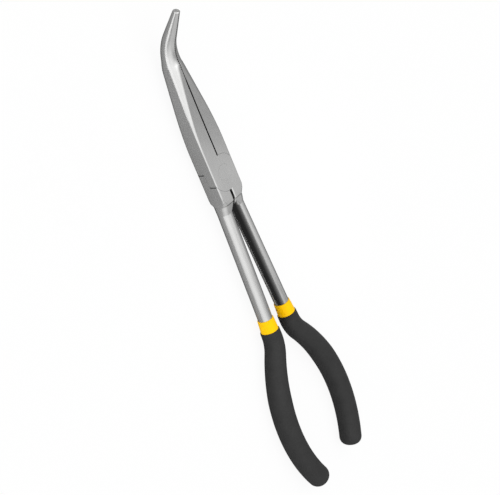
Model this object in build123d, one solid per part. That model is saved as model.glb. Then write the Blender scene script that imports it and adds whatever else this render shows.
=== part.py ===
"""Long-reach needle nose pliers with bent tips, 280 mm long.

Two forged steel halves cross in a lap joint and turn on one rivet.  Each half is a jaw, one
layer of the joint and a long round shank, and its handle is dipped twice in vinyl: a yellow
base coat, whose mouth stays in view as a band, and a thick black grip over it.

Frame, in millimetres: the origin is on the rivet's axis at the back face of the joint.  +Z
points out of the front face, +Y to the tips and +X to the right seen from the front.  The
front half carries the left jaw, the front layer of the joint and the right handle.
"""
from build123d import *
import os
from math import cos, degrees, radians, sin

# Joint
JOINT_WIDTH = 18.4
JOINT_THICKNESS = 10.2
JOINT_FRONT_ROUND = 0.8
JOINT_BACK_ROUND = 1.6
LAP_RADIUS = 9.75
LAP_GAP = 0.06
SHOULDER_GAP = 0.10

# Rivet
RIVET_RADIUS = 3.2
RIVET_HEAD_RADIUS = 4.4
RIVET_HEAD_DEPTH = 1.6
RIVET_CLEARANCE = 0.04

# Straight part of the nose, measured from the rivet's axis
NOSE_START = 16.0
NOSE_LENGTH = 45.3
NOSE_FLANK_RADIUS = 190.0
NOSE_END_HALF_WIDTH = 5.35
NOSE_END_HALF_HEIGHT = 4.8
NOSE_END_RISE = 0.65
NOSE_FRONT_ROUND = 3.7
NOSE_BACK_ROUND = 3.2

# Bend and tip
BEND_RADIUS = 24.0
BEND_ANGLE = 40.6
BEND_END_RADIUS = 3.45
TIP_LENGTH = 16.7
TIP_RADIUS = 1.85
TIP_CHAMFER = 0.35
TIP_FACE_HEADING = 32.0

# Jaws
SLIT_WIDTH = 0.9
SLIT_LENGTH = 50.0
BITE_GAP = 0.12
TOOTHED_LENGTH = 38.0
TOOTH_PITCH = 1.25
TOOTH_DEPTH = 0.4
TOOTH_MARGIN = 1.2

# Neck, from the joint's square corner to the round shank
NECK_START = 11.4
NECK_GAP = 1.1
EASE_LENGTH = 2.2
EASE_OUTER_ROUND = 1.5
SHOULDER_LENGTH = 2.3
SHOULDER_OUTER_ROUND = 4.3
SHOULDER_FRONT_ROUND = 1.0
SHOULDER_BACK_ROUND = 1.8
SHOULDER_FRONT_DROP = 0.1
WAIST_LENGTH = 2.1
WAIST_OUTER_ROUND = 4.1
WAIST_FRONT_ROUND = 1.8
WAIST_BACK_ROUND = 2.4
WAIST_FRONT_DROP = 0.8
FOOT_LENGTH = 3.4

# Shank
SHANK_RADIUS = 4.05
SHANK_OFFSET = 5.25
SHANK_SET_BACK = 0.9
SHANK_LENGTH = 74.6
SHANK_LEAN = 2.6

# Handle bends
FLARE_RADIUS = 20.0
FLARE_ANGLE = 30.3
PALM_RADIUS = 81.0
PALM_ANGLE = 57.0

# Dipped vinyl
BAND_START = 63.6
BAND_LENGTH = 7.1
BASE_MOUTH_RADIUS = 4.55
BASE_RADIUS = 4.95
BASE_MOUTH_ROUND = 0.25
BASE_END_WALL = 0.9
GRIP_MOUTH_RADIUS = 5.4
GRIP_MOUTH_ROUND = 0.4
GRIP_MOUTH_LENGTH = 1.2
GRIP_RADIUS = 6.5
GRIP_END_RADIUS = 6.3
GRIP_TAPER = 40.0
GRIP_END_WALL = 1.1
GRIP_END_ROUND = 4.8

MID = JOINT_THICKNESS / 2
SHANK_PLANE = MID - SHANK_SET_BACK
BEND_START = NOSE_START + NOSE_LENGTH
BEND_LENGTH = BEND_RADIUS * radians(BEND_ANGLE)
REACH = BEND_START + BEND_LENGTH + TIP_LENGTH
NECK_END = NECK_START + EASE_LENGTH + SHOULDER_LENGTH + WAIST_LENGTH + FOOT_LENGTH
FLARE_LENGTH = FLARE_RADIUS * radians(FLARE_ANGLE)
PALM_START = SHANK_LENGTH + FLARE_LENGTH
GRIP_START = BAND_START + BAND_LENGTH
GRIP_END = PALM_START + PALM_RADIUS * radians(PALM_ANGLE)
FULL_ROUND_FLAT = 0.15
NOSE_STATIONS = 6
BEND_STATIONS = 4
GRIP_STATIONS = 16
ON_PLANE = (Align.CENTER, Align.CENTER, Align.MIN)


# Nose ----------------------------------------------------------------------------------------
def cross_plane(y, z, heading=0.0):
    """The plane across the nose at a point of its centre line, which climbs at the heading."""
    back = (0, -cos(radians(heading)), -sin(radians(heading)))
    return Plane(origin=(0, y, z), x_dir=(1, 0, 0), z_dir=back)


def nose_plane(distance):
    """The plane across the nose's centre line, at a distance along it from the rivet."""
    past_bend = max(0.0, distance - BEND_START - BEND_LENGTH)
    heading = degrees(min(max(0.0, distance - BEND_START), BEND_LENGTH) / BEND_RADIUS)
    climb = min(max(0.0, distance - NOSE_START) / NOSE_LENGTH, 1.0) ** 2 * NOSE_END_RISE
    turned = radians(heading)
    y = min(distance, BEND_START) + BEND_RADIUS * sin(turned) + past_bend * cos(turned)
    z = MID + climb + BEND_RADIUS * (1 - cos(turned)) + past_bend * sin(turned)
    return cross_plane(y, z, heading)


def flank_half_width(run):
    """Half the straight nose's width at a run past its start: an arc, then a straight taper."""
    full = JOINT_WIDTH / 2
    drop = full - NOSE_END_HALF_WIDTH
    arc_run = NOSE_LENGTH - (NOSE_LENGTH**2 - 2 * NOSE_FLANK_RADIUS * drop) ** 0.5
    if run < arc_run:
        return full - run**2 / (2 * NOSE_FLANK_RADIUS)
    return NOSE_END_HALF_WIDTH + (NOSE_LENGTH - run) * arc_run / NOSE_FLANK_RADIUS


def mix(first, last, share):
    return first + share * (last - first)


def cross_section(plane, width, height, rounds):
    """A rounded rectangle centred on the plane, given by its half width and half height.  The
    rounds go round from the left back corner, by the right, to the left front corner."""
    corners = [(-width, -height), (width, -height), (width, height), (-width, height)]
    return (plane * FilletPolyline(*corners, radius=rounds, close=True)).wire()


def even_rounds(back_round, front_round):
    """The rounds of a section whose two sides are alike."""
    return [back_round, back_round, front_round, front_round]


def straight_section(station):
    """A section between the joint's square form and the half-round jaws at the bend."""
    share = station / NOSE_STATIONS
    run = share * NOSE_LENGTH
    return cross_section(
        nose_plane(NOSE_START + run),
        flank_half_width(run),
        mix(MID, NOSE_END_HALF_HEIGHT, share),
        even_rounds(
            mix(JOINT_BACK_ROUND, NOSE_BACK_ROUND, share),
            mix(JOINT_FRONT_ROUND, NOSE_FRONT_ROUND, share),
        ),
    )


def bend_section(station):
    """A section round the bend, all but round after its start."""
    share = station / BEND_STATIONS
    width = mix(NOSE_END_HALF_WIDTH, BEND_END_RADIUS, share)
    height = mix(NOSE_END_HALF_HEIGHT, BEND_END_RADIUS, share)
    full_round = min(width, height) - FULL_ROUND_FLAT
    return cross_section(
        nose_plane(BEND_START + share * BEND_LENGTH),
        width,
        height,
        even_rounds(
            min(full_round, NOSE_BACK_ROUND + share * NOSE_END_HALF_WIDTH),
            min(full_round, NOSE_FRONT_ROUND + share * NOSE_END_HALF_WIDTH),
        ),
    )


def tip_section(overrun):
    """The round section of the tips an overrun past their end."""
    radius = mix(BEND_END_RADIUS, TIP_RADIUS, 1 + overrun / TIP_LENGTH)
    corner = radius - FULL_ROUND_FLAT
    return cross_section(nose_plane(REACH + overrun), radius, radius, [corner] * 4)


def joint_bar(low_y, high_y):
    """The joint's plain bar, between two places along Y."""
    rounds = even_rounds(JOINT_BACK_ROUND, JOINT_FRONT_ROUND)
    section = cross_section(cross_plane(high_y, MID), JOINT_WIDTH / 2, MID, rounds)
    return Solid.extrude(Face(section), Vector(0, low_y - high_y, 0))


def closed_nose():
    """Both jaws as one closed nose, from the rivet's axis to the bevelled end of the tips."""
    straight = [straight_section(station) for station in range(NOSE_STATIONS)]
    bend = [bend_section(station) for station in range(BEND_STATIONS + 1)]
    nose = joint_bar(0, NOSE_START)
    nose += Solid.make_loft(straight + bend[:1])
    nose += Solid.make_loft(bend)
    nose += Solid.make_loft([bend[-1], tip_section(TIP_RADIUS)], ruled=True)
    return nose - tip_trim()


def tip_trim():
    """What is ground off the end of the tips: all past a face that is steeper than the tips'
    own cross plane, and a bevel round that face."""
    end = nose_plane(REACH).origin
    waste = Cylinder(2 * BEND_END_RADIUS, 2 * BEND_END_RADIUS, align=ON_PLANE)
    kept = Cone(TIP_RADIUS - TIP_CHAMFER, TIP_RADIUS, TIP_CHAMFER, align=ON_PLANE)
    collar = Cylinder(2 * TIP_RADIUS, TIP_CHAMFER, align=ON_PLANE) - kept
    trim = Pos(0, 0, -2 * BEND_END_RADIUS) * waste + collar
    return cross_plane(end.Y, end.Z, TIP_FACE_HEADING) * trim


def jaw_side():
    """All that lies left of the slit, which narrows to the bite's gap before the bend."""
    slit = SLIT_WIDTH / 2
    bite = BITE_GAP / 2
    outline = Polyline(
        (-slit, 0),
        (-slit, SLIT_LENGTH),
        (-bite, BEND_START),
        (-bite, REACH),
        (-JOINT_WIDTH, REACH),
        (-JOINT_WIDTH, 0),
        close=True,
    )
    return extrude(Pos(0, 0, -REACH) * make_face(outline), amount=2 * REACH)


def tooth_grooves():
    """V grooves across the jaw's flat face, square to the nose's centre line all the way."""
    half = TOOTH_PITCH * 0.4
    groove = make_face(Polyline((0, -half), (0, half), (-TOOTH_DEPTH, 0), close=True))
    cutter = extrude(Pos(0, 0, -JOINT_THICKNESS) * groove, amount=2 * JOINT_THICKNESS)
    grooves = []
    for tooth in range(int((TOOTHED_LENGTH - TOOTH_MARGIN) / TOOTH_PITCH)):
        across = nose_plane(REACH - TOOTH_MARGIN - tooth * TOOTH_PITCH)
        seat = Plane(origin=across.origin, x_dir=across.x_dir, z_dir=across.y_dir)
        grooves.append(seat * Pos(-BITE_GAP / 2, 0, 0) * cutter)
    return grooves


def left_jaw():
    """The left half of the nose, cut back along the slit and toothed where it bites."""
    return (closed_nose() & jaw_side()) - tooth_grooves()


# Neck, shank and bar -------------------------------------------------------------------------
def handle_place(distance):
    """The place on the right handle's centre line at a distance down it from the neck: down
    the straight shank, out round the flare, then in round the palm bend.  Its +X points out
    from the tool's middle and its +Z down the line."""
    flare = degrees(min(max(0.0, distance - SHANK_LENGTH), FLARE_LENGTH) / FLARE_RADIUS)
    palm = degrees(max(0.0, distance - PALM_START) / PALM_RADIUS)
    neck = Pos(SHANK_OFFSET, -NECK_END, SHANK_PLANE) * Rot(90, 0, 0) * Rot(0, SHANK_LEAN, 0)
    shank = neck * Pos(0, 0, min(distance, SHANK_LENGTH))
    flared = shank * Pos(FLARE_RADIUS, 0, 0) * Rot(0, flare, 0) * Pos(-FLARE_RADIUS, 0, 0)
    return flared * Pos(-PALM_RADIUS, 0, 0) * Rot(0, -palm, 0) * Pos(PALM_RADIUS, 0, 0)


def carried(section, start, end):
    """A section carried down the right handle from a place on its shank to one in its palm
    bend: extruded along the shank, then turned round each bend."""
    flare = handle_place(SHANK_LENGTH)
    palm = handle_place(PALM_START)
    flare_axis = Axis((flare * Pos(FLARE_RADIUS, 0, 0)).position, (0, 0, 1))
    palm_axis = Axis((palm * Pos(-PALM_RADIUS, 0, 0)).position, (0, 0, -1))
    straight = extrude(handle_place(start) * section, amount=SHANK_LENGTH - start)
    outward = revolve(flare * section, flare_axis, FLARE_ANGLE)
    inward = revolve(palm * section, palm_axis, degrees((end - PALM_START) / PALM_RADIUS))
    return straight + outward + inward


def ring_arcs(radius, side_angle):
    """A circle in eight arcs, which pair with the edges of a rounded rectangle."""
    def rim(angle):
        return (radius * cos(radians(angle)), radius * sin(radians(angle)))

    arcs = []
    for side in (-90, 0, 90, 180):
        bounds = [side - side_angle, side + side_angle, side + 90 - side_angle]
        for first, last in zip(bounds, bounds[1:]):
            arcs.append(ThreePointArc(rim(first), rim((first + last) / 2), rim(last)))
    return Wire(arcs)


def neck_section(distance, inner, outer, low, high, inner_rounds, outer_round):
    """A section of the right neck between two sides and two faces.  The inner rounds are those
    of its back and front corner."""
    plane = Pos((inner + outer) / 2, 0, 0) * cross_plane(-distance, (low + high) / 2)
    inner_back, inner_front = inner_rounds
    rounds = [inner_back, outer_round, outer_round, inner_front]
    return cross_section(plane, (outer - inner) / 2, (high - low) / 2, rounds)


def right_neck():
    """The forged neck.  Its outer corners round off first and faster and faster, the front face
    runs on to the shoulder, and the corners beside the slit go last."""
    inner = NECK_GAP / 2
    outer = JOINT_WIDTH / 2
    shank_inner = SHANK_OFFSET - SHANK_RADIUS
    shank_outer = SHANK_OFFSET + SHANK_RADIUS
    shank_low = SHANK_PLANE - SHANK_RADIUS
    square = even_rounds(JOINT_BACK_ROUND, JOINT_FRONT_ROUND)
    corner = cross_section(
        Pos((inner + outer) / 2, 0, 0) * cross_plane(-NECK_START, MID), (outer - inner) / 2, MID, square,
    )
    eased = neck_section(
        NECK_START + EASE_LENGTH,
        inner,
        outer,
        0,
        JOINT_THICKNESS,
        (JOINT_BACK_ROUND, JOINT_FRONT_ROUND),
        EASE_OUTER_ROUND,
    )
    shoulder = neck_section(
        NECK_START + EASE_LENGTH + SHOULDER_LENGTH,
        inner,
        mix(outer, shank_outer, 0.5),
        mix(0, shank_low, 0.3),
        JOINT_THICKNESS - SHOULDER_FRONT_DROP,
        (SHOULDER_BACK_ROUND, SHOULDER_FRONT_ROUND),
        SHOULDER_OUTER_ROUND,
    )
    waist = neck_section(
        NECK_END - FOOT_LENGTH,
        mix(inner, shank_inner, 0.25),
        shank_outer,
        mix(0, shank_low, 0.6),
        JOINT_THICKNESS - WAIST_FRONT_DROP,
        (WAIST_BACK_ROUND, WAIST_FRONT_ROUND),
        WAIST_OUTER_ROUND,
    )
    foot = (handle_place(0) * ring_arcs(SHANK_RADIUS, 20)).wire()
    neck = Solid.make_loft([corner, eased, shoulder, waist, foot], ruled=True)
    return neck + Solid.extrude(Face(corner), Vector(0, NECK_START, 0))


def right_handle():
    """The joint's lower right corner, its neck, the shank and the bent bar inside the grip."""
    bar = carried(Circle(SHANK_RADIUS), 0, GRIP_END - GRIP_END_WALL - BASE_END_WALL)
    return right_neck() + bar


# Vinyl ---------------------------------------------------------------------------------------
def mouth_ring(low_radius, high_radius, length, edge_round):
    """A short ring with a rounded mouth, standing on its plane."""
    ring = Cone(low_radius, high_radius, length, align=ON_PLANE)
    return fillet(ring.edges().filter_by(GeomType.CIRCLE).sort_by(Axis.Z)[0], edge_round)


def base_form():
    """The outer form of the right base coat: a flaring mouth, then an even coat to its end."""
    band = mouth_ring(BASE_MOUTH_RADIUS, BASE_RADIUS, BAND_LENGTH, BASE_MOUTH_ROUND)
    coat = carried(Circle(BASE_RADIUS), GRIP_START, GRIP_END - GRIP_END_WALL)
    return handle_place(BAND_START) * band + coat


def grip_radius(distance, length):
    """The grip's radius at a distance from its mouth: it swells, then thins to its end."""
    if distance < GRIP_TAPER:
        return mix(GRIP_MOUTH_RADIUS, GRIP_RADIUS, distance / GRIP_TAPER)
    return mix(GRIP_RADIUS, GRIP_END_RADIUS, (distance - GRIP_TAPER) / (length - GRIP_TAPER))


def grip_form():
    """The outer form of the right grip: a rounded mouth, a lofted body and a blunt end."""
    length = GRIP_END - GRIP_START
    lip_radius = grip_radius(GRIP_MOUTH_LENGTH, length)
    lip = mouth_ring(GRIP_MOUTH_RADIUS, lip_radius, GRIP_MOUTH_LENGTH, GRIP_MOUTH_ROUND)
    rings = []
    for station in range(GRIP_STATIONS + 1):
        distance = mix(GRIP_MOUTH_LENGTH, length, station / GRIP_STATIONS)
        ring = handle_place(GRIP_START + distance) * Circle(grip_radius(distance, length))
        rings.append(ring.wire())
    grip = handle_place(GRIP_START) * lip + Solid.make_loft(rings, ruled=True)
    return grip + handle_place(GRIP_END) * blunt_end()


def blunt_end():
    """The grip's end, a disc with a deeply rounded rim."""
    side = JernArc((GRIP_END_RADIUS, 0), (0, 1), GRIP_END_ROUND, 90)
    outline = [Line((0, 0), side @ 0), side, Line(side @ 1, (0, GRIP_END_ROUND))]
    outline.append(Line((0, GRIP_END_ROUND), (0, 0)))
    return revolve(Plane.XZ * make_face(outline), Axis.Z)


# Joint ---------------------------------------------------------------------------------------
def rivet_form(clearance):
    """The rivet through both layers, its two heads peened flush into countersinks."""
    stem = RIVET_RADIUS + clearance
    head = RIVET_HEAD_RADIUS + clearance
    outline = Polyline(
        (0, 0),
        (head, 0),
        (stem, RIVET_HEAD_DEPTH),
        (stem, JOINT_THICKNESS - RIVET_HEAD_DEPTH),
        (head, JOINT_THICKNESS),
        (0, JOINT_THICKNESS),
        close=True,
    )
    return revolve(Plane.XZ * make_face(outline), Axis.Z)


def lap_disc(low_z, high_z):
    """One layer of the joint: a disc no wider than the joint's bar."""
    disc = Pos(0, 0, low_z) * Cylinder(LAP_RADIUS, high_z - low_z, align=ON_PLANE)
    return disc & joint_bar(-LAP_RADIUS, LAP_RADIUS)


def lap_pocket(low_z, high_z):
    """The room that one half leaves for the other half's disc."""
    radius = LAP_RADIUS + SHOULDER_GAP
    return Pos(0, 0, low_z) * Cylinder(radius, high_z - low_z, align=ON_PLANE)


# Pieces --------------------------------------------------------------------------------------
def build_pieces():
    """Every piece by its name, in the closed position."""
    jaw = left_jaw()
    handle = right_handle()
    base = base_form()
    grip = grip_form() - base
    base -= handle
    gap = LAP_GAP / 2
    front = jaw + handle - lap_pocket(0, MID + gap) + lap_disc(MID + gap, JOINT_THICKNESS)
    back = mirror(jaw, Plane.YZ) + mirror(handle, Plane.YZ)
    back = back - lap_pocket(MID - gap, JOINT_THICKNESS) + lap_disc(0, MID - gap)
    return {
        "front_half": front - rivet_form(RIVET_CLEARANCE),
        "back_half": back - rivet_form(0),
        "pivot_rivet": rivet_form(0),
        "front_grip_base": base,
        "back_grip_base": mirror(base, Plane.YZ),
        "front_grip": grip,
        "back_grip": mirror(grip, Plane.YZ),
    }


os.makedirs("parts", exist_ok=True)
for name, piece in build_pieces().items():
    export_step(piece, f"parts/{name}.step")
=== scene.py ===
"""Long-reach bent needle nose pliers: satin ground steel, a yellow base coat and black foam vinyl.

Sizes are in millimetres and are turned into metres as each piece is finished.  The frame is the
model's own: the rivet's axis is +Z from the back face of the joint, and the tips point to +Y.
"""
from math import cos, degrees, pi, radians, sin, sqrt

import bmesh
import bpy
from mathutils import Euler, Matrix, Vector


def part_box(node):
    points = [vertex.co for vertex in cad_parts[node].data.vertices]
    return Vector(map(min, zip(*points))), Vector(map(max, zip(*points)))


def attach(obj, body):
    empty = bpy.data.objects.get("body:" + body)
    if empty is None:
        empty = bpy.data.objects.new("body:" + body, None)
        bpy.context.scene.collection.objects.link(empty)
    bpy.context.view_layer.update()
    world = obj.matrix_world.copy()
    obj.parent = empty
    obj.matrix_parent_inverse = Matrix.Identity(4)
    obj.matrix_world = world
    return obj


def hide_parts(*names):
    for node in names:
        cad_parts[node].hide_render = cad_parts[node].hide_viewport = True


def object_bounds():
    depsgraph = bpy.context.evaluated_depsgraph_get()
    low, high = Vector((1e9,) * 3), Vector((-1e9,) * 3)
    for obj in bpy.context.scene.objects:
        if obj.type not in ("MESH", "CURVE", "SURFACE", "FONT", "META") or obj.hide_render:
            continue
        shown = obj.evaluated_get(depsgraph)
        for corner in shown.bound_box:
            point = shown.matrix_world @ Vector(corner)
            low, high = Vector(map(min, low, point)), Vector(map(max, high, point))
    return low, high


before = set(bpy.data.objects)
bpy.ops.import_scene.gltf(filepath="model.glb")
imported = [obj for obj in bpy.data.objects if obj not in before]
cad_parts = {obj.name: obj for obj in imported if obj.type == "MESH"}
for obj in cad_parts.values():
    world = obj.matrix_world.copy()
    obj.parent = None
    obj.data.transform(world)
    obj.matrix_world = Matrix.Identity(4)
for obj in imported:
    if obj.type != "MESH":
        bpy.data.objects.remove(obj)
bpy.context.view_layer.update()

MM = 0.001

# Joint: its thickness and the rivet's heads are read from the frame
RIVET_LOW, RIVET_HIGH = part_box("pivot_rivet")
JOINT_THICKNESS = (RIVET_HIGH.z - RIVET_LOW.z) / MM
MID = JOINT_THICKNESS / 2
JOINT_WIDTH = 18.4
JOINT_FRONT_ROUND = 0.8
JOINT_BACK_ROUND = 1.6
LAP_RADIUS = 9.75
LAP_GAP = 0.06
SHOULDER_GAP = 0.10
RIVET_RADIUS = 3.2
RIVET_HEAD_RADIUS = (RIVET_HIGH.x - RIVET_LOW.x) / MM / 2
RIVET_HEAD_DEPTH = 1.6
RIVET_CLEARANCE = 0.04
OVERSHOOT = 1.0

# Seams on the joint's sides, where a shoulder meets the disc: outlines on the right side
EASED_SEAM = [(9.6, 3.35), (9.6, 3.85), (8.7, 4.75), (8.7, 4.5)]
EASED_SEAM_LOW = MID + 0.3
EASED_SEAM_HIGH = JOINT_THICKNESS - 0.7
OPEN_SEAM = [(9.6, 3.1), (9.6, 3.7), (7.8, 3.7), (7.8, 3.1)]
OPEN_SEAM_LOW = 0.9
OPEN_SEAM_HIGH = MID - 0.2

# Nose
NOSE_START = 16.0
NOSE_LENGTH = 45.3
NOSE_FLANK_RADIUS = 190.0
NOSE_END_HALF_WIDTH = 5.35
NOSE_END_HALF_HEIGHT = 4.8
NOSE_END_RISE = 0.65
NOSE_FRONT_ROUND = 4.4
NOSE_FRONT_GROWTH = 1.4
NOSE_BACK_ROUND = 3.2
BEND_START = NOSE_START + NOSE_LENGTH
BEND_RADIUS = 24.0
BEND_ANGLE = 40.6
BEND_LENGTH = BEND_RADIUS * radians(BEND_ANGLE)
BEND_END_RADIUS = 3.45
TIP_LENGTH = 16.7
TIP_RADIUS = 1.85
TIP_CHAMFER = 0.35
TIP_FACE_HEADING = 32.0
TIP_TURN_GROWTH = 3
REACH = BEND_START + BEND_LENGTH + TIP_LENGTH
ROUND_FLAT = 0.02
HAIR = 0.004

# Jaws
SLIT_WIDTH = 0.9
SLIT_LENGTH = 50.0
BITE_GAP = 0.12
TOOTHED_LENGTH = 38.0
TOOTH_PITCH = 1.25
TOOTH_DEPTH = 0.4
TOOTH_HALF_WIDTH = TOOTH_PITCH * 0.4
TOOTH_MARGIN = 1.2

# Neck, shank and handle line
NECK_INSIDE = 0.55
BACK_NECK_INSIDE = 0.95
NECK_START = 11.4
EASE_END = NECK_START + 2.2
EASE_OUTER_ROUND = 2.0
SHOULDER_END = EASE_END + 2.0
SHOULDER_OUTER_ROUND = 4.3
SHOULDER_FRONT_ROUND = 1.0
SHOULDER_BACK_ROUND = 1.8
SHOULDER_FRONT_DROP = 0.05
LIP_END = SHOULDER_END + 0.7
LIP_FRONT_DROP = 0.65
WAIST_END = LIP_END + 1.7
WAIST_OUTER_ROUND = 4.1
WAIST_FRONT_ROUND = 1.8
WAIST_BACK_ROUND = 2.4
WAIST_FRONT_DROP = 1.05
NECK_END = WAIST_END + 3.4
SHANK_RADIUS = 4.05
SHANK_OFFSET = 5.25
SHANK_PLANE = MID - 0.9
SHANK_LENGTH = 74.6
SHANK_LEAN = 2.6
FLARE_RADIUS = 20.0
FLARE_ANGLE = 30.3
PALM_RADIUS = 81.0
PALM_ANGLE = 57.0

# Dipped coats
BAND_START = 63.6
BAND_LENGTH = 7.1
BASE_MOUTH_RADIUS = 4.55
BASE_RADIUS = 4.95
BASE_MOUTH_ROUND = 0.35
BASE_HIDDEN_LENGTH = 2.0
COAT_CLEARANCE = 0.02
GRIP_MOUTH_RADIUS = 5.4
GRIP_MOUTH_ROUND = 0.45
GRIP_RADIUS = 6.5
GRIP_END_RADIUS = 6.3
GRIP_TAPER = 40.0
GRIP_END_ROUND = 4.8

# Fineness of the meshes: points round a ring, rings and steps along a piece
CORNER_POINTS = 13
DISC_POINTS = 192
RIVET_POINTS = 96
GRIP_POINTS = 96
NOSE_RINGS = 26
BEND_RINGS = 22
TIP_RINGS = 10
NECK_STEPS = 6
BAR_STEP = 2
LIP_STEPS = 6
BASE_STEPS = 8
GRIP_FIRST_STEP = 0.8
GRIP_STEP = 0.9
GRIP_END_STEPS = 12
GRIP_END_SHARES = (0.66, 0.33, 0.05)
SMOOTH_ANGLE = 28.0


# Mesh tools ----------------------------------------------------------------------------------
def ring_places(plane, half_width, half_height, radii):
    """The places of a rounded rectangle's ring on a plane.  The radii are those of its corners at
    +x +y, -x +y, -x -y and +x -y."""
    places = []
    for quarter, radius in enumerate(radii):
        radius = min(radius, half_width - ROUND_FLAT, half_height - ROUND_FLAT)
        side_x = 1 if quarter in (0, 3) else -1
        side_y = 1 if quarter in (0, 1) else -1
        centre = Vector((side_x * (half_width - radius), side_y * (half_height - radius), 0))
        for point in range(CORNER_POINTS):
            turn = radians(90 * (quarter + point / (CORNER_POINTS - 1)))
            places.append(plane @ (centre + radius * Vector((cos(turn), sin(turn), 0))))
    return places


def circle_places(plane, radius, points):
    """The places of a circle on a plane."""
    turns = [2 * pi * point / points for point in range(points)]
    return [plane @ Vector((radius * cos(turn), radius * sin(turn), 0)) for turn in turns]


def place_in_order(part):
    """A number that puts edges or faces in the order of their vertices, the same each run.  No
    piece has a million vertices."""
    numbers = [vertex.index for vertex in part.verts]
    return max(numbers) * 1e6 + min(numbers)


def loft(name, rings):
    """A closed object through rings of places: the first is filled, and each next is extruded."""
    mesh = bmesh.new()
    ring = bmesh.ops.create_circle(mesh, segments=len(rings[0]), radius=1, cap_ends=False)["verts"]
    for vertex, place in zip(ring, rings[0]):
        vertex.co = place
    for places in rings[1:]:
        rim = dict.fromkeys(edge for vertex in ring for edge in vertex.link_edges
                            if edge.other_vert(vertex) in ring)
        made = bmesh.ops.extrude_edge_only(mesh, edges=list(rim))["geom"]
        fresh = {part for part in made if isinstance(part, bmesh.types.BMVert)}
        ring = [
            next(edge.other_vert(vertex) for edge in vertex.link_edges
                 if edge.other_vert(vertex) in fresh)
            for vertex in ring
        ]
        for vertex, place in zip(ring, places):
            vertex.co = place
    bmesh.ops.holes_fill(mesh, edges=mesh.edges, sides=0)
    bmesh.ops.recalc_face_normals(mesh, faces=mesh.faces)
    mesh.verts.index_update()
    for parts in (mesh.edges, mesh.faces):
        parts.sort(key=place_in_order)
    return finish_mesh(mesh, name)


def finish_mesh(mesh, name):
    """An object that holds the mesh, still in millimetres."""
    data = bpy.data.meshes.new(name)
    mesh.to_mesh(data)
    mesh.free()
    piece = bpy.data.objects.new(name, data)
    bpy.context.scene.collection.objects.link(piece)
    return piece


def combine(piece, operation, tool):
    """Applies a boolean with a tool object, which is used up."""
    boolean = piece.modifiers.new("combine", "BOOLEAN")
    boolean.operation = operation
    boolean.solver = "EXACT"
    boolean.object = tool
    bpy.context.view_layer.update()
    evaluated = piece.evaluated_get(bpy.context.evaluated_depsgraph_get())
    result = bpy.data.meshes.new_from_object(evaluated)
    piece.modifiers.clear()
    piece.data = result
    bpy.data.objects.remove(tool)
    return piece


def joined(name, pieces):
    """One object from several that stay apart in it."""
    mesh = bmesh.new()
    for piece in pieces:
        mesh.from_mesh(piece.data)
        bpy.data.objects.remove(piece)
    return finish_mesh(mesh, name)


def mirrored(piece, name):
    """A copy on the other side of the tool's middle."""
    mesh = bmesh.new()
    mesh.from_mesh(piece.data)
    bmesh.ops.scale(mesh, vec=(-1, 1, 1), verts=mesh.verts)
    bmesh.ops.reverse_faces(mesh, faces=mesh.faces)
    return finish_mesh(mesh, name)


def dress(piece, material, body, slot, *nodes):
    """Brings a piece to metres, smooths it between its sharp edges and puts it on its body."""
    piece.data.transform(Matrix.Scale(MM, 4))
    piece.data.polygons.foreach_set("use_smooth", [True] * len(piece.data.polygons))
    piece.data.set_sharp_from_angle(angle=radians(SMOOTH_ANGLE))
    weighted = piece.modifiers.new("even shading", "WEIGHTED_NORMAL")
    weighted.keep_sharp = True
    weighted.weight = 100
    piece.data.materials.clear()
    piece.data.materials.append(material)
    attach(piece, body)
    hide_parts(*nodes)
    return piece


# Nose ----------------------------------------------------------------------------------------
def cross_plane(y, z, heading=0.0, x=0.0):
    """The plane across the nose at a point of its centre line, facing on along it."""
    return Matrix.Translation((x, y, z)) @ Euler((radians(90 + heading), 0, 0)).to_matrix().to_4x4()


def nose_point(distance):
    """The (y, z, heading) of the nose's centre line at a distance along it from the rivet."""
    past_bend = max(0.0, distance - BEND_START - BEND_LENGTH)
    turned = min(max(0.0, distance - BEND_START), BEND_LENGTH) / BEND_RADIUS
    climb = min(max(0.0, distance - NOSE_START) / NOSE_LENGTH, 1.0) ** 2 * NOSE_END_RISE
    y = min(distance, BEND_START) + BEND_RADIUS * sin(turned) + past_bend * cos(turned)
    z = MID + climb + BEND_RADIUS * (1 - cos(turned)) + past_bend * sin(turned)
    return y, z, degrees(turned)


def flank_half_width(run):
    """Half the straight nose's width at a run past its start: an arc, then a straight taper."""
    full = JOINT_WIDTH / 2
    drop = full - NOSE_END_HALF_WIDTH
    arc_run = NOSE_LENGTH - sqrt(NOSE_LENGTH**2 - 2 * NOSE_FLANK_RADIUS * drop)
    if run < arc_run:
        return full - run**2 / (2 * NOSE_FLANK_RADIUS)
    return NOSE_END_HALF_WIDTH + (NOSE_LENGTH - run) * arc_run / NOSE_FLANK_RADIUS


def mix(first, last, share):
    """A value part of the way from the first to the last."""
    return first + share * (last - first)


def bar_ring(y, inset=0.0):
    """The joint's plain square section with its rounded corners."""
    rounds = [JOINT_FRONT_ROUND, JOINT_FRONT_ROUND, JOINT_BACK_ROUND, JOINT_BACK_ROUND]
    return ring_places(cross_plane(y, MID), JOINT_WIDTH / 2 - inset, MID - inset, rounds)


def straight_ring(share):
    """A section between the joint's square form and the half-round jaws at the bend."""
    front = mix(JOINT_FRONT_ROUND, NOSE_FRONT_ROUND, share**NOSE_FRONT_GROWTH)
    back = mix(JOINT_BACK_ROUND, NOSE_BACK_ROUND, share)
    plane = cross_plane(*nose_point(NOSE_START + share * NOSE_LENGTH))
    height = mix(MID, NOSE_END_HALF_HEIGHT, share)
    width = flank_half_width(share * NOSE_LENGTH)
    return ring_places(plane, width, height, [front, front, back, back])


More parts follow.
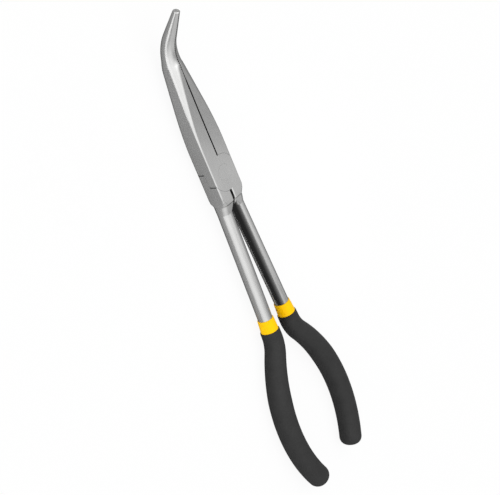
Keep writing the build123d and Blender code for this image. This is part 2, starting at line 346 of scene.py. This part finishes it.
def bend_ring(share):
    """A section round the bend, all but round after its start."""
    plane = cross_plane(*nose_point(BEND_START + share * BEND_LENGTH))
    width = mix(NOSE_END_HALF_WIDTH, BEND_END_RADIUS, share)
    height = mix(NOSE_END_HALF_HEIGHT, BEND_END_RADIUS, share)
    front = NOSE_FRONT_ROUND + share * NOSE_END_HALF_WIDTH
    back = NOSE_BACK_ROUND + share * NOSE_END_HALF_WIDTH
    return ring_places(plane, width, height, [front, front, back, back])


def tip_ring(radius, distance, heading):
    """A round section near the end of the tips."""
    y, z, _ = nose_point(distance)
    return ring_places(cross_plane(y, z, heading), radius, radius, [radius] * 4)


def closed_nose():
    """Both jaws as one closed nose, from the rivet's axis to the bevelled end of the tips."""
    rings = [bar_ring(0, HAIR), bar_ring(LAP_RADIUS, HAIR)]
    rings += [straight_ring(ring / NOSE_RINGS) for ring in range(NOSE_RINGS)]
    rings += [bend_ring(ring / BEND_RINGS) for ring in range(BEND_RINGS)]
    for ring in range(TIP_RINGS + 1):
        share = ring / TIP_RINGS
        distance = BEND_START + BEND_LENGTH + share * (TIP_LENGTH - TIP_CHAMFER)
        heading = mix(BEND_ANGLE, TIP_FACE_HEADING, share**TIP_TURN_GROWTH)
        rings.append(tip_ring(mix(BEND_END_RADIUS, TIP_RADIUS, share), distance, heading))
    rings.append(tip_ring(TIP_RADIUS - TIP_CHAMFER, REACH, TIP_FACE_HEADING))
    return loft("nose", rings)


def prism(name, outline, low, high):
    """A flat outline of (x, y) points, extruded between two heights."""
    return loft(name, [[Vector((x, y, level)) for x, y in outline] for level in (low, high)])


def jaw_side():
    """All that lies left of the slit, which narrows to the bite's gap before the bend."""
    slit = SLIT_WIDTH / 2
    bite = BITE_GAP / 2
    far = 2 * REACH
    outline = [(-slit, -1), (-slit, SLIT_LENGTH), (-bite, BEND_START), (-bite, far)]
    outline += [(-far, far), (-far, -1)]
    return prism("jaw side", outline, -far, far)


def tooth_grooves():
    """V grooves across the jaw's flat face, square to the nose's centre line all the way."""
    rise = TOOTH_HALF_WIDTH * (1 + 1 / TOOTH_DEPTH)
    groove = [(1, rise), (-TOOTH_DEPTH, 0), (1, -rise)]
    grooves = []
    for tooth in range(int((TOOTHED_LENGTH - TOOTH_MARGIN) / TOOTH_PITCH)):
        y, z, heading = nose_point(REACH - TOOTH_MARGIN - tooth * TOOTH_PITCH)
        cutter = prism("groove", groove, -JOINT_THICKNESS, JOINT_THICKNESS)
        tilt = Euler((radians(heading), 0, 0)).to_matrix().to_4x4()
        cutter.data.transform(Matrix.Translation((-BITE_GAP / 2, y, z)) @ tilt)
        grooves.append(cutter)
    return joined("grooves", grooves)


def left_jaw():
    """The left half of the nose, cut back along the slit and toothed where it bites."""
    jaw = combine(closed_nose(), "INTERSECT", jaw_side())
    return combine(jaw, "DIFFERENCE", tooth_grooves())


# Neck, shank and bar -------------------------------------------------------------------------
def handle_plane(distance):
    """The plane across the right handle's line, facing down it, at a distance from the neck."""
    lean = radians(SHANK_LEAN)
    flare_end = SHANK_LENGTH + FLARE_RADIUS * radians(FLARE_ANGLE)
    straight = min(distance, SHANK_LENGTH)
    flare = min(max(0.0, distance - SHANK_LENGTH) / FLARE_RADIUS, radians(FLARE_ANGLE))
    palm = max(0.0, distance - flare_end) / PALM_RADIUS
    widest = lean + radians(FLARE_ANGLE)
    heading = lean + flare - palm
    x = SHANK_OFFSET + straight * sin(lean) + FLARE_RADIUS * (cos(lean) - cos(lean + flare))
    y = -NECK_END - straight * cos(lean)
    y -= FLARE_RADIUS * (sin(lean + flare) - sin(lean))
    if palm > 0:
        x += PALM_RADIUS * (cos(heading) - cos(widest))
        y -= PALM_RADIUS * (sin(widest) - sin(heading))
    turned = Euler((radians(90), 0, heading)).to_matrix().to_4x4()
    return Matrix.Translation((x, y, SHANK_PLANE)) @ turned


def handle_length():
    """The handle line's length from the neck to the grip's own end."""
    return SHANK_LENGTH + FLARE_RADIUS * radians(FLARE_ANGLE) + PALM_RADIUS * radians(PALM_ANGLE)


def neck_ring(stage):
    """A section of the right neck: its distance down, its two sides, its two faces and its
    rounds, which are those of the outer front, inner front, inner back and outer back corners."""
    distance, inner, outer, low, high, *rounds = stage
    plane = cross_plane(-distance, (low + high) / 2, 0, (inner + outer) / 2)
    return ring_places(plane, (outer - inner) / 2, (high - low) / 2, rounds)


def neck_rings(inner):
    """The forged neck, from the joint's square corner to the round shank.  The outer corners
    round off first and faster and faster, the front face runs on to the shoulder, and the
    corners beside the slit go last.  Beside the slit it stands off the tool's middle.  The
    shares in a stage say how far a side has come from the joint's to the shank's."""
    outer = JOINT_WIDTH / 2
    high = JOINT_THICKNESS
    foot = SHANK_PLANE - SHANK_RADIUS
    crown = SHANK_PLANE + SHANK_RADIUS
    shank_inner = SHANK_OFFSET - SHANK_RADIUS
    shank_outer = SHANK_OFFSET + SHANK_RADIUS
    square = [JOINT_FRONT_ROUND, JOINT_FRONT_ROUND, JOINT_BACK_ROUND, JOINT_BACK_ROUND]
    stages = [
        (0.0, inner, outer - HAIR, HAIR, high - HAIR, *square),
        (LAP_RADIUS, inner, outer - HAIR, HAIR, high - HAIR, *square),
        (NECK_START, inner, outer, 0.0, high, *square),
        (EASE_END, inner, outer, 0.0, high, EASE_OUTER_ROUND, *square[1:3], EASE_OUTER_ROUND),
        (SHOULDER_END, inner, mix(outer, shank_outer, 0.5), mix(0, foot, 0.3),
         high - SHOULDER_FRONT_DROP, SHOULDER_OUTER_ROUND, SHOULDER_FRONT_ROUND,
         SHOULDER_BACK_ROUND, SHOULDER_OUTER_ROUND),
        (LIP_END, inner, mix(outer, shank_outer, 0.7), mix(0, foot, 0.4),
         high - LIP_FRONT_DROP, SHOULDER_OUTER_ROUND, SHOULDER_FRONT_ROUND,
         SHOULDER_BACK_ROUND, SHOULDER_OUTER_ROUND),
        (WAIST_END, mix(inner, shank_inner, 0.25), shank_outer, mix(0, foot, 0.6),
         high - WAIST_FRONT_DROP, WAIST_OUTER_ROUND, WAIST_FRONT_ROUND,
         WAIST_BACK_ROUND, WAIST_OUTER_ROUND),
        (NECK_END, shank_inner, shank_outer, foot, crown, *[SHANK_RADIUS] * 4),
    ]
    rings = []
    for first, last in zip(stages, stages[1:]):
        steps = NECK_STEPS if first[0] >= NECK_START else 1
        for step in range(steps):
            stage = [mix(a, b, step / steps) for a, b in zip(first, last)]
            rings.append(neck_ring(stage))
    return rings


def right_handle(inside):
    """The joint's lower right corner, its neck, the round shank and the bar inside the grip."""
    rings = neck_rings(inside)
    bar = range(BAR_STEP, int(handle_length() - SHANK_LENGTH), BAR_STEP)
    for distance in (0.0, SHANK_LENGTH, *[SHANK_LENGTH + step for step in bar]):
        plane = handle_plane(distance)
        rings.append(ring_places(plane, SHANK_RADIUS, SHANK_RADIUS, [SHANK_RADIUS] * 4))
    return loft("handle", rings)


# Joint ---------------------------------------------------------------------------------------
def disc_prism(name, radius, low, high):
    """A cylinder on the rivet's axis between two heights."""
    planes = [Matrix.Translation((0, 0, level)) for level in (low, high)]
    return loft(name, [circle_places(plane, radius, DISC_POINTS) for plane in planes])


def rivet_form(clearance=0.0, overshoot=0.0):
    """The rivet through both layers, its two heads peened flush into countersinks.  Its hole
    is the same form with a clearance, and overshoots the joint's faces."""
    stem = RIVET_RADIUS + clearance
    head = RIVET_HEAD_RADIUS + clearance
    levels = [
        (0, head),
        (RIVET_HEAD_DEPTH, stem),
        (JOINT_THICKNESS - RIVET_HEAD_DEPTH, stem),
        (JOINT_THICKNESS, head),
    ]
    if overshoot:
        levels = [(-overshoot, head), *levels, (JOINT_THICKNESS + overshoot, head)]
    rings = []
    for level, radius in levels:
        rings.append(circle_places(Matrix.Translation((0, 0, level)), radius, RIVET_POINTS))
    return loft("rivet", rings)


def lap_disc(low, high):
    """One layer of the joint: a disc no wider or thicker than the joint's bar."""
    ends = LAP_RADIUS + OVERSHOOT
    bar = loft("bar", [bar_ring(-ends), bar_ring(ends)])
    return combine(disc_prism("disc", LAP_RADIUS, low, high), "INTERSECT", bar)


def shells(mesh):
    """The vertices of each part of a mesh that hangs together, the largest part last."""
    found = []
    seen = set()
    for start in mesh.verts:
        if start in seen:
            continue
        seen.add(start)
        shell = [start]
        for vertex in shell:
            for edge in vertex.link_edges:
                other = edge.other_vert(vertex)
                if other not in seen:
                    seen.add(other)
                    shell.append(other)
        found.append(shell)
    return sorted(found, key=len)


def mend(piece):
    """Drops what a cut left loose and closes the pinholes, far finer than a hair, in its rims."""
    mesh = bmesh.new()
    mesh.from_mesh(piece.data)
    loose = [vertex for shell in shells(mesh)[:-1] for vertex in shell]
    bmesh.ops.delete(mesh, geom=loose, context="VERTS")
    rim = [vertex for vertex in mesh.verts if any(edge.is_boundary for edge in vertex.link_edges)]
    bmesh.ops.remove_doubles(mesh, verts=rim, dist=HAIR)
    bmesh.ops.dissolve_degenerate(mesh, dist=HAIR / 4, edges=mesh.edges)
    mesh.to_mesh(piece.data)
    mesh.free()


def seam_cuts(outline, slope, low, high):
    """A cut at each of the joint's two sides, where a shoulder meets the disc, from an outline
    for the right side.  The slope tells whether it is ahead of the rivet on the right or left."""
    cuts = []
    for side in (-1, 1):
        places = [(side * x, side * slope * y) for x, y in outline]
        cuts.append(prism("seam", places, low, high))
    return joined("seams", cuts)


def half(name, jaw, handle, pocket, layer, clearance):
    """One forging: its jaw and handle, the other half's pocket cut out and its own layer of the
    joint added, with the rivet's hole.  The pocket and the layer are given by their heights."""
    forging = joined(name, [jaw, handle])
    combine(forging, "DIFFERENCE", disc_prism("pocket", LAP_RADIUS + SHOULDER_GAP, *pocket))
    combine(forging, "UNION", lap_disc(*layer))
    return combine(forging, "DIFFERENCE", rivet_form(clearance, OVERSHOOT))


# Vinyl ---------------------------------------------------------------------------------------
def coat_rings(start, stops):
    """Rings of a dipped coat on the right handle, at (distance past its start, radius) stops."""
    return [circle_places(handle_plane(start + distance), radius, GRIP_POINTS)
            for distance, radius in stops]


def rounded_lip(radius, round_off):
    """Stops that round a mouth's rim from its face to its side."""
    stops = []
    for step in range(LIP_STEPS + 1):
        turn = radians(90 * step / LIP_STEPS)
        stops.append((round_off * (1 - cos(turn)), radius - round_off * (1 - sin(turn))))
    return stops


def base_coat():
    """The right base coat: the mouth that stays in view and a stretch inside the grip."""
    bore = SHANK_RADIUS + COAT_CLEARANCE
    end = BAND_LENGTH + BASE_HIDDEN_LENGTH
    stops = [(0.0, bore), *rounded_lip(BASE_MOUTH_RADIUS, BASE_MOUTH_ROUND)]
    for step in range(1, BASE_STEPS + 1):
        share = step / BASE_STEPS
        swell = mix(BASE_MOUTH_RADIUS, BASE_RADIUS, share)
        stops.append((mix(BASE_MOUTH_ROUND, BAND_LENGTH, share), swell))
    stops += [(end, BASE_RADIUS), (end, bore)]
    return loft("base coat", coat_rings(BAND_START, stops))


def grip_radius(distance, length):
    """The grip's radius at a distance from its mouth: it swells, then thins to its end."""
    if distance < GRIP_TAPER:
        return mix(GRIP_MOUTH_RADIUS, GRIP_RADIUS, distance / GRIP_TAPER)
    return mix(GRIP_RADIUS, GRIP_END_RADIUS, (distance - GRIP_TAPER) / (length - GRIP_TAPER))


def grip_coat():
    """The right grip: a rounded mouth, a swelling body and a blunt end."""
    start = BAND_START + BAND_LENGTH
    length = handle_length() - start
    stops = [(0.0, BASE_RADIUS + COAT_CLEARANCE), *rounded_lip(GRIP_MOUTH_RADIUS, GRIP_MOUTH_ROUND)]
    distance = GRIP_MOUTH_ROUND + GRIP_FIRST_STEP
    while distance < length:
        stops.append((distance, grip_radius(distance, length)))
        distance += GRIP_STEP
    rings = coat_rings(start, stops)
    end = handle_plane(start + length)
    for step in range(GRIP_END_STEPS + 1):
        turn = radians(90 * step / GRIP_END_STEPS)
        radius = GRIP_END_RADIUS - GRIP_END_ROUND * (1 - cos(turn))
        plane = end @ Matrix.Translation((0, 0, GRIP_END_ROUND * sin(turn)))
        rings.append(circle_places(plane, radius, GRIP_POINTS))
    face = end @ Matrix.Translation((0, 0, GRIP_END_ROUND))
    for share in GRIP_END_SHARES:
        rings.append(circle_places(face, (GRIP_END_RADIUS - GRIP_END_ROUND) * share, GRIP_POINTS))
    return loft("grip", rings)


# Materials -----------------------------------------------------------------------------------
class Tree:
    """A new material's node tree, with a short way to fill its sockets."""

    def __init__(self, name):
        self.material = bpy.data.materials.new(name)
        self.material.use_nodes = True
        self.nodes = self.material.node_tree.nodes
        self.links = self.material.node_tree.links
        self.nodes.clear()
        self.output = self.nodes.new("ShaderNodeOutputMaterial")

    def put(self, value, socket):
        """Links another node's output to a socket, or sets a plain value on it."""
        if isinstance(value, bpy.types.NodeSocket):
            self.links.new(value, socket)
        else:
            socket.default_value = value


class Recipe(Tree):
    """A finish: one shader, and patterns to feed it."""

    def __init__(self, name):
        super().__init__(name)
        self.shader = self.nodes.new("ShaderNodeBsdfPrincipled")
        self.put(self.shader.outputs[0], self.output.inputs["Surface"])

    def feed(self, name, value):
        """Sets or links one of the shader's inputs."""
        self.put(value, self.shader.inputs[name])

    def noise(self, scale, detail, roughness=0.5):
        """Noise whose grain has the given number of cells in a metre along each axis."""
        place = self.nodes.new("ShaderNodeTexCoord")
        mapping = self.nodes.new("ShaderNodeMapping")
        mapping.inputs["Scale"].default_value = scale
        self.put(place.outputs["Object"], mapping.inputs["Vector"])
        node = self.nodes.new("ShaderNodeTexNoise")
        node.inputs["Scale"].default_value = 1.0
        node.inputs["Detail"].default_value = detail
        node.inputs["Roughness"].default_value = roughness
        self.put(mapping.outputs["Vector"], node.inputs["Vector"])
        return node.outputs["Fac"]

    def spread(self, value, low, high):
        """A noise's middle range, which is 0.3 to 0.7, spread from low to high."""
        node = self.nodes.new("ShaderNodeMapRange")
        node.inputs["From Min"].default_value = 0.3
        node.inputs["From Max"].default_value = 0.7
        node.inputs["To Min"].default_value = low
        node.inputs["To Max"].default_value = high
        self.put(value, node.inputs["Value"])
        return node.outputs["Result"]

    def tint(self, value, dark, light):
        """A colour between two, chosen by a value."""
        node = self.nodes.new("ShaderNodeMix")
        node.data_type = "RGBA"
        node.inputs["A"].default_value = (*dark, 1)
        node.inputs["B"].default_value = (*light, 1)
        self.put(value, node.inputs["Factor"])
        return node.outputs["Result"]

    def bump(self, height, distance, strength):
        """A bump of a height in metres."""
        node = self.nodes.new("ShaderNodeBump")
        node.inputs["Distance"].default_value = distance
        node.inputs["Strength"].default_value = strength
        self.put(height, node.inputs["Height"])
        return node.outputs["Normal"]


def ground_steel():
    """Satin steel with the fine lengthwise grain of a finishing belt."""
    steel = Recipe("satin ground steel")
    grain = steel.noise((2600, 700, 2600), detail=4)
    cloud = steel.noise((120, 60, 120), detail=3)
    steel.feed("Metallic", 1.0)
    steel.feed("Base Color", steel.tint(cloud, (0.53, 0.53, 0.525), (0.62, 0.62, 0.615)))
    steel.feed("Roughness", steel.spread(grain, 0.22, 0.30))
    steel.feed("Specular Tint", (0.45, 0.45, 0.45, 1))
    steel.feed("Normal", steel.bump(grain, 0.00002, 0.35))
    return steel.material


def yellow_vinyl():
    """The smooth satin base coat."""
    vinyl = Recipe("yellow dipped vinyl")
    cloud = vinyl.noise((220, 220, 220), detail=2)
    vinyl.feed("Base Color", vinyl.tint(cloud, (0.90, 0.50, 0.0), (0.94, 0.57, 0.0)))
    vinyl.feed("Roughness", 0.42)
    vinyl.feed("Specular IOR Level", 0.1)
    vinyl.feed("Normal", vinyl.bump(cloud, 0.0001, 0.3))
    return vinyl.material


def black_vinyl():
    """The matte foam coat with its fine pebble."""
    vinyl = Recipe("black foam vinyl")
    pebble = vinyl.noise((1500, 1500, 1500), detail=3, roughness=0.6)
    cloud = vinyl.noise((160, 160, 160), detail=3)
    vinyl.feed("Base Color", vinyl.tint(cloud, (0.011, 0.011, 0.011), (0.022, 0.022, 0.022)))
    vinyl.feed("Specular IOR Level", 0.36)
    vinyl.feed("Roughness", vinyl.spread(pebble, 0.55, 0.75))
    vinyl.feed("Normal", vinyl.bump(pebble, 0.00012, 0.8))
    return vinyl.material


# Pieces --------------------------------------------------------------------------------------
steel = ground_steel()
yellow = yellow_vinyl()
black = black_vinyl()

jaw = left_jaw()
mirror_jaw = mirrored(jaw, "mirror jaw")
handle = right_handle(NECK_INSIDE)
back_handle = right_handle(BACK_NECK_INSIDE)
mirror_handle = mirrored(back_handle, "mirror handle")
bpy.data.objects.remove(back_handle)
below = MID - LAP_GAP / 2
above = MID + LAP_GAP / 2
past = JOINT_THICKNESS + OVERSHOOT
front_forging = half("front_forging", jaw, handle, (-OVERSHOOT, above - HAIR), (above, past),
                     RIVET_CLEARANCE)
back_forging = half("back_forging", mirror_jaw, mirror_handle, (below + HAIR, past),
                    (-OVERSHOOT, below), RIVET_CLEARANCE / 4)
combine(back_forging, "DIFFERENCE", seam_cuts(EASED_SEAM, 1, EASED_SEAM_LOW, EASED_SEAM_HIGH))
for forging in (front_forging, back_forging):
    combine(forging, "DIFFERENCE", seam_cuts(OPEN_SEAM, -1, OPEN_SEAM_LOW, OPEN_SEAM_HIGH))
    mend(forging)
dress(front_forging, steel, "front", "forged_steel", "front_half")
dress(back_forging, steel, "back", "forged_steel", "back_half")
dress(rivet_form(), steel, "back", "rivet_steel", "pivot_rivet").name = "flush_rivet"

coat = base_coat()
dress(mirrored(coat, "back_base_coat"), yellow, "back", "yellow_vinyl", "back_grip_base")
coat.name = "front_base_coat"
dress(coat, yellow, "front", "yellow_vinyl", "front_grip_base")
grip = grip_coat()
dress(mirrored(grip, "back_foam_grip"), black, "back", "black_vinyl", "back_grip")
grip.name = "front_foam_grip"
dress(grip, black, "front", "black_vinyl", "front_grip")

# Studio --------------------------------------------------------------------------------------
CAMERA_AIM = Vector((2.0, -46.7, 4.2)) * MM
CAMERA_DISTANCE = 0.8388
CAMERA_AZIMUTH = 148.058
CAMERA_ELEVATION = 40.225
CAMERA_ROLL = 89.146
CAMERA_LENS = 115.2
CAMERA_SENSOR = 36.0

# The floor: its half size and its place in metres, its grey, the share of it that the camera
# sees as white paper, and the share of its light that polished steel misses
FLOOR_REACH = 6.0
FLOOR_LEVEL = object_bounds()[0].z - 0.0002
FLOOR_GREY = 0.8
FLOOR_WHITE = 0.92
FLOOR_DIMMING = 0.5

# The black card between the shanks: size, place and lean, then the heights, lengths and glows
# in metres and shares of white between which it pales
FLAG_HEIGHT = 22.0
FLAG_LENGTH = 73.0
FLAG_PLACE = (1.0, -56.5, FLAG_HEIGHT / 2 - 2.0)
FLAG_TILT = 12.0
FLAG_FACE_HEIGHTS = (0.007, 0.020)
FLAG_FACE_GLOWS = (0.03, 0.45)
FLAG_FOOT_HEIGHTS = (0.005, 0.008)
FLAG_FOOT_LENGTHS = (-0.024, -0.038)
FLAG_FOOT_GLOW = 1.2
FLAG_BACK_LEAST = 0.2

# The bright card left of the tips and its upright far edge: size, place and turn
BOUNCE_CARDS = [
    ("bounce card", 80.0, 46.0, (-68.0, 52.0, 0.0), 0.0),
    ("bounce card back", 42.0, 46.0, (-108.0, 52.0, 21.0), 90.0),
]
BOUNCE_GLOW = 1.7

# The studio's even grey and its soft lights: over the left side, over the right, low behind the
# handles and low beyond the tips.  Each has its direction, its half width and its strength.
STUDIO_GREY = 0.42
STUDIO_LIGHTS = [
    ((-0.663, 0.383, 0.643), 90.0, 1.05),
    ((0.296, 0.171, 0.940), 43.0, 0.85),
    ((-0.20, -0.90, 0.36), 42.0, 0.38),
    ((0.65, 0.74, 0.15), 38.0, 0.6),
]


def add_camera():
    """The camera looks down on the tool from its left, turned so that the tool stands upright."""
    data = bpy.data.cameras.new("camera")
    data.lens = CAMERA_LENS
    data.sensor_width = CAMERA_SENSOR
    camera = bpy.data.objects.new("camera", data)
    bpy.context.scene.collection.objects.link(camera)
    azimuth = radians(CAMERA_AZIMUTH)
    elevation = radians(CAMERA_ELEVATION)
    towards = Vector((cos(azimuth) * cos(elevation), sin(azimuth) * cos(elevation), sin(elevation)))
    turn = towards.to_track_quat("Z", "Y").to_matrix().to_4x4()
    place = Matrix.Translation(CAMERA_AIM + towards * CAMERA_DISTANCE)
    camera.matrix_world = place @ turn @ Matrix.Rotation(radians(CAMERA_ROLL), 4, "Z")
    bpy.context.scene.camera = camera


def add_softbox(name, towards, spot, distance, size, brightness):
    """A rectangular area lamp that faces a spot from a direction.  Its brightness is that of
    its own surface, where 1 is white."""
    data = bpy.data.lights.new(name, "AREA")
    data.shape = "RECTANGLE"
    data.size, data.size_y = size
    data.energy = brightness * pi * size[0] * size[1]
    lamp = bpy.data.objects.new(name, data)
    bpy.context.scene.collection.objects.link(lamp)
    direction = Vector(towards).normalized()
    turn = direction.to_track_quat("Z", "Y").to_matrix().to_4x4()
    lamp.matrix_world = Matrix.Translation(Vector(spot) * MM + direction * distance) @ turn
    lamp.visible_camera = False


class Stage(Tree):
    """A stage material, with the light path to tell the camera's rays apart."""

    def __init__(self, name):
        super().__init__(name)
        self.rays = self.nodes.new("ShaderNodeLightPath").outputs

    def blend(self, factor, first, second):
        """A mix of two shaders by a factor."""
        node = self.nodes.new("ShaderNodeMixShader")
        self.put(factor, node.inputs["Fac"])
        self.put(first, node.inputs[1])
        self.put(second, node.inputs[2])
        return node.outputs[0]

    def ramp(self, value, given, made):
        """A value mapped from one range to another."""
        node = self.nodes.new("ShaderNodeMapRange")
        for name, number in zip(("From Min", "From Max", "To Min", "To Max"), (*given, *made)):
            node.inputs[name].default_value = number
        self.put(value, node.inputs["Value"])
        return node.outputs["Result"]

    def reckon(self, operation, first, second):
        """A sum of some kind on two values, the second of which may be a plain number."""
        node = self.nodes.new("ShaderNodeMath")
        node.operation = operation
        self.put(first, node.inputs[0])
        self.put(second, node.inputs[1])
        return node.outputs[0]

    def glow(self, strength):
        """A white glow."""
        node = self.nodes.new("ShaderNodeEmission")
        self.put(strength, node.inputs["Strength"])
        return node.outputs[0]

    def matte(self, level):
        """A matte grey."""
        node = self.nodes.new("ShaderNodeBsdfDiffuse")
        node.inputs["Color"].default_value = (level, level, level, 1)
        return node.outputs[0]

    def clear(self):
        """Nothing at all."""
        return self.nodes.new("ShaderNodeBsdfTransparent").outputs[0]

    def finish(self, shader):
        """The material, which shows this shader."""
        self.put(shader, self.output.inputs["Surface"])
        return self.material


def add_floor():
    """A pale floor just under the tool.  The camera sees it as white paper that keeps the tool's
    shadow, and polished steel sees it as a dimmer sheet."""
    mesh = bmesh.new()
    bmesh.ops.create_grid(mesh, x_segments=1, y_segments=1, size=FLOOR_REACH)
    bmesh.ops.translate(mesh, vec=(0, 0, FLOOR_LEVEL), verts=mesh.verts)
    floor = finish_mesh(mesh, "floor")
    paper = Stage("pale floor")
    dimming = paper.reckon("MULTIPLY", paper.rays["Is Glossy Ray"], FLOOR_DIMMING)
    sheet = paper.blend(dimming, paper.matte(FLOOR_GREY), paper.glow(0.0))
    seen = paper.reckon("MULTIPLY", paper.rays["Is Camera Ray"], FLOOR_WHITE)
    floor.data.materials.append(paper.finish(paper.blend(seen, sheet, paper.glow(1.0))))


def add_sheet(name, width, length, place, turn, material):
    """A sheet of card, given in millimetres, turned about the length of the tool."""
    mesh = bmesh.new()
    bmesh.ops.create_grid(mesh, x_segments=1, y_segments=1, size=0.5)
    tilt = Euler((0, radians(turn), 0)).to_matrix().to_4x4()
    seat = Matrix.Scale(MM, 4) @ Matrix.Translation(place) @ tilt
    bmesh.ops.transform(mesh, matrix=seat @ Matrix.Diagonal((width, length, 1, 1)), verts=mesh.verts)
    sheet = finish_mesh(mesh, name)
    sheet.data.materials.append(material)


def add_flag():
    """A black card that leans between the shanks and shows only in their reflections, chiefly
    in the right one.  It pales towards its top, and at the foot of its back away from the joint."""
    card = Stage("black card")
    place = card.nodes.new("ShaderNodeTexCoord")
    axes = card.nodes.new("ShaderNodeSeparateXYZ")
    card.put(place.outputs["Object"], axes.inputs[0])
    side = card.nodes.new("ShaderNodeNewGeometry")
    seen = card.reckon("MAXIMUM", card.rays["Is Glossy Ray"], card.rays["Is Shadow Ray"])
    tone = card.ramp(axes.outputs["Z"], FLAG_FACE_HEIGHTS, FLAG_FACE_GLOWS)
    front = card.blend(seen, card.clear(), card.glow(tone))
    foot = card.ramp(axes.outputs["Z"], FLAG_FOOT_HEIGHTS, (1.0, 0.0))
    along = card.ramp(axes.outputs["Y"], FLAG_FOOT_LENGTHS, (0.0, 1.0))
    pale = card.reckon("MULTIPLY", foot, along)
    seen_behind = card.reckon("MULTIPLY", seen, card.reckon("MAXIMUM", pale, FLAG_BACK_LEAST))
    glow = card.glow(card.reckon("MULTIPLY", pale, FLAG_FOOT_GLOW))
    back = card.blend(seen_behind, card.clear(), glow)
    material = card.finish(card.blend(side.outputs["Backfacing"], front, back))
    add_sheet("black flag", FLAG_HEIGHT, FLAG_LENGTH, FLAG_PLACE, 90 + FLAG_TILT, material)


def add_bounce():
    """A bright card, bent up at its far edge, that lies left of the tips and shows only in
    their reflections."""
    card = Stage("bright card")
    shader = card.blend(card.rays["Is Glossy Ray"], card.clear(), card.glow(BOUNCE_GLOW))
    bright = card.finish(shader)
    for name, width, length, place, turn in BOUNCE_CARDS:
        add_sheet(name, width, length, place, turn, bright)


def add_world():
    """White to the camera.  To the tool it is a studio: an even grey and its soft lights."""
    world = bpy.data.worlds.new("studio")
    bpy.context.scene.world = world
    world.use_nodes = True
    nodes = world.node_tree.nodes
    links = world.node_tree.links
    nodes.clear()
    output = nodes.new("ShaderNodeOutputWorld")
    background = nodes.new("ShaderNodeBackground")
    background.inputs["Color"].default_value = (1, 1, 1, 1)
    place = nodes.new("ShaderNodeTexCoord")
    total = nodes.new("ShaderNodeValue").outputs[0]
    total.default_value = STUDIO_GREY
    for towards, width, strength in STUDIO_LIGHTS:
        facing = nodes.new("ShaderNodeVectorMath")
        facing.operation = "DOT_PRODUCT"
        facing.inputs[1].default_value = Vector(towards).normalized()
        links.new(place.outputs["Generated"], facing.inputs[0])
        edge = nodes.new("ShaderNodeMapRange")
        edge.interpolation_type = "SMOOTHERSTEP"
        edge.inputs["From Min"].default_value = cos(radians(width))
        edge.inputs["From Max"].default_value = 1.0
        edge.inputs["To Max"].default_value = strength
        links.new(facing.outputs["Value"], edge.inputs["Value"])
        add = nodes.new("ShaderNodeMath")
        add.operation = "ADD"
        links.new(edge.outputs["Result"], add.inputs[0])
        links.new(total, add.inputs[1])
        total = add.outputs[0]
    path = nodes.new("ShaderNodeLightPath")
    level = nodes.new("ShaderNodeMix")
    level.inputs["B"].default_value = 1.0
    links.new(path.outputs["Is Camera Ray"], level.inputs["Factor"])
    links.new(total, level.inputs["A"])
    links.new(level.outputs["Result"], background.inputs["Strength"])
    links.new(background.outputs[0], output.inputs["Surface"])


add_camera()
add_floor()
add_flag()
add_bounce()
add_world()
add_softbox("near right", towards=(0.66, -0.36, 0.66), spot=(0.0, -31.0, 10.0), distance=0.10,
            size=(0.09, 0.12), brightness=0.28)
bpy.context.scene.view_settings.view_transform = "Standard"
